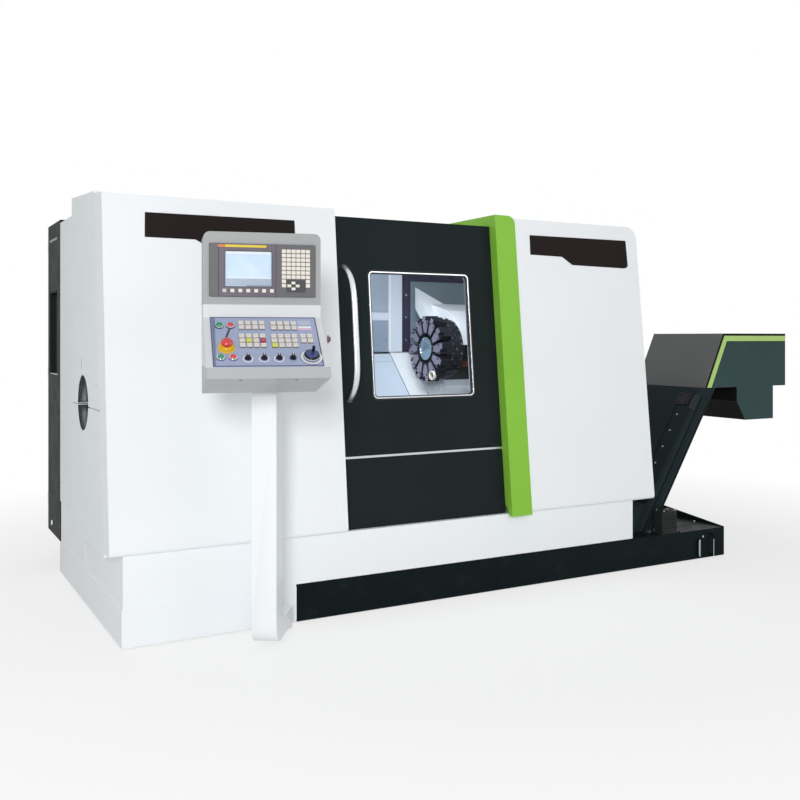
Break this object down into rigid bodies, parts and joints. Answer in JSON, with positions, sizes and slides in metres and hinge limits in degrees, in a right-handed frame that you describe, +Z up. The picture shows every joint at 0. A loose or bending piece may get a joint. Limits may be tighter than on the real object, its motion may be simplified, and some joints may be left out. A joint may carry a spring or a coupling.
{
  "type": "cnc turning lathe",
  "caption": "Enclosed slant-bed turning lathe with sliding door, chuck, tool turret, tailstock, swivelling control pendant, coolant tank and chip conveyor.",
  "frame": {"origin": "centre of the footprint's bounding box on the floor", "axes": "+X along the front towards the chip conveyor, +Y from front to rear, +Z up"},
  "size_m": [4.051, 2.6442, 1.889],
  "materials": {
    "panel_white": "textured bluish white paint",
    "flank_white": "textured light grey paint",
    "frame_green": "satin leaf green paint",
    "door_black": "textured black paint",
    "cabinet_dark": "textured dark grey paint",
    "tank_black": "satin black paint",
    "conveyor_grey": "satin dark grey paint",
    "inner_white": "satin white paint",
    "cast_grey": "painted casting",
    "pad_steel": "dark cast pads",
    "rail_steel": "brushed",
    "handle_steel": "satin silver",
    "ground_steel": "ground",
    "jaw_steel": "ground",
    "turret_black": "blackened",
    "pump_grey": "satin grey paint",
    "equipment_grey": "matte",
    "pendant_silver": "satin silver paint",
    "desk_blue": "satin grey blue",
    "bezel_grey": "matte dark grey",
    "button_green": "gloss",
    "button_red": "gloss",
    "switch_red": "gloss",
    "knob_black": "matte",
    "window_glass": "clear"
  },
  "bodies": {
    "machine": {"levelling_pads": "pad_steel", "base_casting": "cast_grey", "base_skirt": "panel_white", "coolant_tank": "tank_black", "coolant_pump": "pump_grey", "left_front_cover": "panel_white", "side_panel_upper": "flank_white", "side_panel_lower": "flank_white", "rear_housing": "flank_white", "roof_panel": "flank_white", "right_front_cover": "panel_white", "green_frame": "frame_green", "right_side_panel": "flank_white", "kick_panel": "door_black", "door_rails": "rail_steel", "headstock": "inner_white", "work_area_walls": "inner_white", "front_apron": "rail_steel", "bed_rails": "ground_steel", "way_cover_fixed": "rail_steel", "cabinet_shell": "cabinet_dark", "cabinet_equipment": "equipment_grey", "conveyor_casing": "conveyor_grey", "conveyor_head": "conveyor_grey", "conveyor_belt": "rail_steel", "conveyor_gearmotor": "pump_grey"},
    "door": {"door_panel": "door_black", "door_glass": "window_glass", "door_handle": "handle_steel"},
    "spindle_unit": {"spindle": "ground_steel", "rear_cylinder": "ground_steel", "chuck_body": "ground_steel"},
    "jaw_1": {"chuck_jaw_1": "jaw_steel"},
    "jaw_2": {"chuck_jaw_2": "jaw_steel"},
    "jaw_3": {"chuck_jaw_3": "jaw_steel"},
    "middle_cover": {"way_cover_middle": "rail_steel"},
    "carriage": {"saddle": "inner_white"},
    "cross_carriage": {"cross_slide": "inner_white", "turret_housing": "inner_white"},
    "turret": {"turret_disc": "turret_black", "tool_holders": "turret_black"},
    "tailstock_unit": {"tailstock": "inner_white"},
    "quill": {"tailstock_quill": "ground_steel"},
    "arm": {"control_arm": "panel_white"},
    "pendant": {"pendant_housing": "pendant_silver", "control_unit": "bezel_grey", "desk_panel": "desk_blue"},
    "stop_button": {"emergency_stop": "button_red"},
    "button_on": {"power_on_button": "button_green"},
    "button_off": {"power_off_button": "button_red"},
    "button_start": {"cycle_start_button": "button_green"},
    "button_hold": {"feed_hold_button": "button_red"},
    "knob_1": {"selector_knob_1": "knob_black"},
    "knob_2": {"selector_knob_2": "knob_black"},
    "knob_3": {"selector_knob_3": "knob_black"},
    "knob_4": {"selector_knob_4": "knob_black"},
    "pulse_wheel": {"handwheel": "knob_black"},
    "cabinet_leaf": {"cabinet_door": "cabinet_dark"},
    "switch_knob": {"main_switch": "switch_red"},
    "conveyor_drive": {"conveyor_shaft": "ground_steel"}
  },
  "joints": [
    {"name": "door_slide", "type": "slide", "parent": "machine", "child": "door", "axis": [1, 0, 0], "range_m": [0, 0.6]},
    {"name": "spindle_turn", "type": "hinge", "parent": "machine", "child": "spindle_unit", "pos_m": [-0.9575, -0.04593, 0.952], "axis": [1, 0, 0], "continuous": true},
    {"name": "jaw_1_slide", "type": "slide", "parent": "spindle_unit", "child": "jaw_1", "axis": [0, 0, 1], "range_m": [-0.004, 0.004]},
    {"name": "jaw_2_slide", "type": "slide", "parent": "spindle_unit", "child": "jaw_2", "axis": [0, -0.866, -0.5], "range_m": [-0.004, 0.004]},
    {"name": "jaw_3_slide", "type": "slide", "parent": "spindle_unit", "child": "jaw_3", "axis": [0, 0.866, -0.5], "range_m": [-0.004, 0.004]},
    {"name": "saddle_slide", "type": "slide", "parent": "machine", "child": "carriage", "axis": [1, 0, 0], "range_m": [-0.52, 0.04]},
    {"name": "cover_slide", "type": "slide", "parent": "machine", "child": "middle_cover", "axis": [1, 0, 0], "range_m": [-0.26, 0.02]},
    {"name": "cross_feed", "type": "slide", "parent": "carriage", "child": "cross_carriage", "axis": [0, 0.7071, 0.7071], "range_m": [-0.112, 0.06]},
    {"name": "turret_index", "type": "hinge", "parent": "cross_carriage", "child": "turret", "pos_m": [0.0155, 0.18034, 1.17827], "axis": [1, 0, 0], "continuous": true},
    {"name": "tailstock_slide", "type": "slide", "parent": "machine", "child": "tailstock_unit", "axis": [1, 0, 0], "range_m": [-0.2, 0]},
    {"name": "quill_slide", "type": "slide", "parent": "tailstock_unit", "child": "quill", "axis": [1, 0, 0], "range_m": [-0.08, 0]},
    {"name": "arm_swing", "type": "hinge", "parent": "machine", "child": "arm", "pos_m": [-1.3235, -0.62593, 0.033], "axis": [0, 0, 1], "range_deg": [-15, 60]},
    {"name": "pendant_swivel", "type": "hinge", "parent": "arm", "child": "pendant", "pos_m": [-1.46101, -0.83448, 1.1], "axis": [0, 0, 1], "range_deg": [-35, 45]},
    {"name": "stop_press", "type": "slide", "parent": "pendant", "child": "stop_button", "axis": [0.1604, 0.6248, -0.7641], "range_m": [0, 0.005], "stiffness_N_per_m": 1500},
    {"name": "button_on_press", "type": "slide", "parent": "pendant", "child": "button_on", "axis": [0.1604, 0.6248, -0.7641], "range_m": [0, 0.0035], "stiffness_N_per_m": 1000},
    {"name": "button_off_press", "type": "slide", "parent": "pendant", "child": "button_off", "axis": [0.1604, 0.6248, -0.7641], "range_m": [0, 0.0035], "stiffness_N_per_m": 1000},
    {"name": "button_start_press", "type": "slide", "parent": "pendant", "child": "button_start", "axis": [0.1604, 0.6248, -0.7641], "range_m": [0, 0.0035], "stiffness_N_per_m": 1000},
    {"name": "button_hold_press", "type": "slide", "parent": "pendant", "child": "button_hold", "axis": [0.1604, 0.6248, -0.7641], "range_m": [0, 0.0035], "stiffness_N_per_m": 1000},
    {"name": "knob_1_turn", "type": "hinge", "parent": "pendant", "child": "knob_1", "pos_m": [-1.68119, -1.21756, 1.16345], "axis": [-0.1604, -0.6248, 0.7641], "range_deg": [0, 270]},
    {"name": "knob_2_turn", "type": "hinge", "parent": "pendant", "child": "knob_2", "pos_m": [-1.62599, -1.23173, 1.16345], "axis": [-0.1604, -0.6248, 0.7641], "range_deg": [0, 270]},
    {"name": "knob_3_turn", "type": "hinge", "parent": "pendant", "child": "knob_3", "pos_m": [-1.57465, -1.24491, 1.16345], "axis": [-0.1604, -0.6248, 0.7641], "range_deg": [-45, 45]},
    {"name": "knob_4_turn", "type": "hinge", "parent": "pendant", "child": "knob_4", "pos_m": [-1.52719, -1.2571, 1.16345], "axis": [-0.1604, -0.6248, 0.7641], "range_deg": [-45, 45]},
    {"name": "pulse_wheel_turn", "type": "hinge", "parent": "pendant", "child": "pulse_wheel", "pos_m": [-1.46115, -1.26932, 1.16732], "axis": [-0.1604, -0.6248, 0.7641], "continuous": true},
    {"name": "cabinet_door_hinge", "type": "hinge", "parent": "machine", "child": "cabinet_leaf", "pos_m": [-1.9635, 1.29707, 0.155], "axis": [0, 0, 1], "range_deg": [0, 110]},
    {"name": "main_switch_turn", "type": "hinge", "parent": "cabinet_leaf", "child": "switch_knob", "pos_m": [-1.1975, 1.29707, 1.35], "axis": [0, 1, 0], "range_deg": [0, 90]},
    {"name": "conveyor_drive_turn", "type": "hinge", "parent": "machine", "child": "conveyor_drive", "pos_m": [1.6725, -0.47793, 1.11], "axis": [0, 1, 0], "continuous": true}
  ],
  "couplings": [
    {"joint": "jaw_2_slide", "follows": "jaw_1_slide", "ratio": 1},
    {"joint": "jaw_3_slide", "follows": "jaw_1_slide", "ratio": 1},
    {"joint": "cover_slide", "follows": "saddle_slide", "ratio": 0.5}
  ]
}
